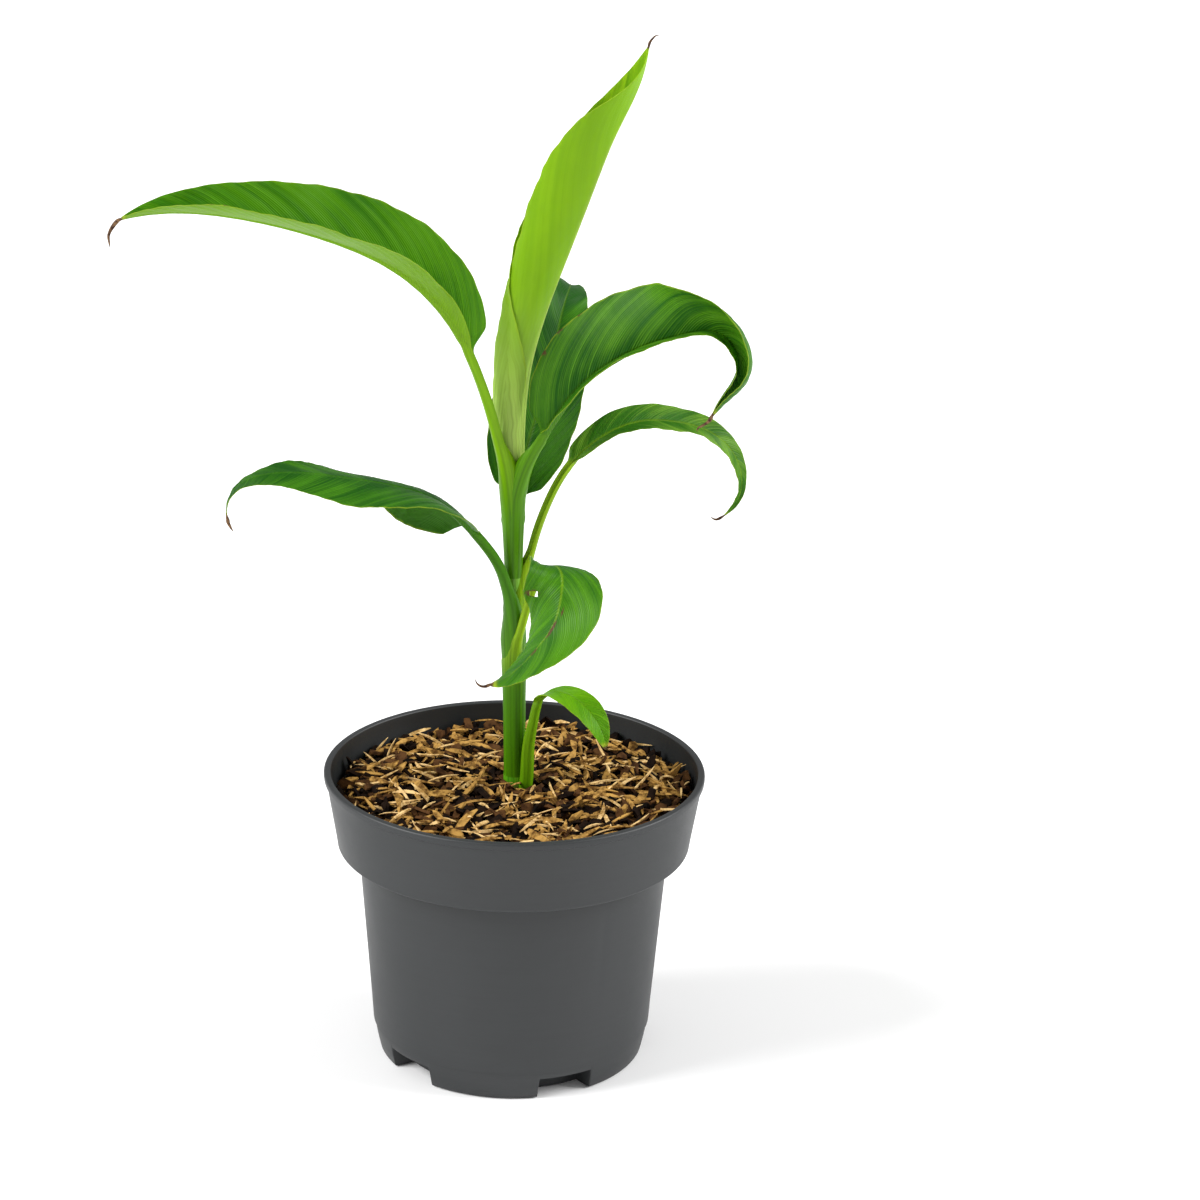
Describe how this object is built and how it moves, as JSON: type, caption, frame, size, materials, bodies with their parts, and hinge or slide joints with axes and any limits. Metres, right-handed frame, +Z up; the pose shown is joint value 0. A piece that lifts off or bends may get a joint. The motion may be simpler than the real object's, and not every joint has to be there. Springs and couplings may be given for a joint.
{
  "type": "potted banana plant",
  "caption": "Young banana plant in a round nursery pot, with a slim false stem, broad arching leaves, a furled top leaf, a small sucker shoot and bark mulch.",
  "frame": {"origin": "middle of the flat underside of the pot", "axes": "+Z up along the stem; -Y is the front, where the torn leaf hangs; the long upper leaf reaches towards -X"},
  "size_m": [0.2209, 0.14, 0.378],
  "materials": {
    "pot_plastic": "matt moulded plastic, dark slate grey",
    "mulch": "loose bark and coir chips, dry",
    "stem_green": "smooth fresh green sheath, satin",
    "leaf_stalk": "smooth yellow-green stalk, satin",
    "leaf_blade": "thin ribbed leaf, satin sheen",
    "young_leaf": "thin pale young leaf, satin sheen"
  },
  "bodies": {
    "root": {"pot": "pot_plastic", "compost": "mulch", "stem": "stem_green", "furled_leaf": "young_leaf", "upper_left_leaf_stalk": "leaf_stalk", "upper_left_leaf_inner_blade": "leaf_blade", "upper_left_leaf_outer_blade": "leaf_blade", "upper_right_leaf_stalk": "leaf_stalk", "upper_right_leaf_inner_blade": "leaf_blade", "upper_right_leaf_middle_blade": "leaf_blade", "upper_right_leaf_tip_blade": "leaf_blade", "back_leaf_stalk": "leaf_stalk", "back_leaf_inner_blade": "leaf_blade", "back_leaf_outer_blade": "leaf_blade", "lower_right_leaf_stalk": "leaf_stalk", "lower_right_leaf_inner_blade": "leaf_blade", "lower_right_leaf_outer_blade": "leaf_blade", "lower_left_leaf_stalk": "leaf_stalk", "lower_left_leaf_inner_blade": "leaf_blade", "lower_left_leaf_outer_blade": "leaf_blade", "front_leaf_stalk": "leaf_stalk", "front_leaf_inner_blade": "leaf_blade", "front_leaf_outer_blade": "leaf_blade", "sucker_stalk": "leaf_stalk", "sucker_blade": "young_leaf"}
  },
  "joints": []
}
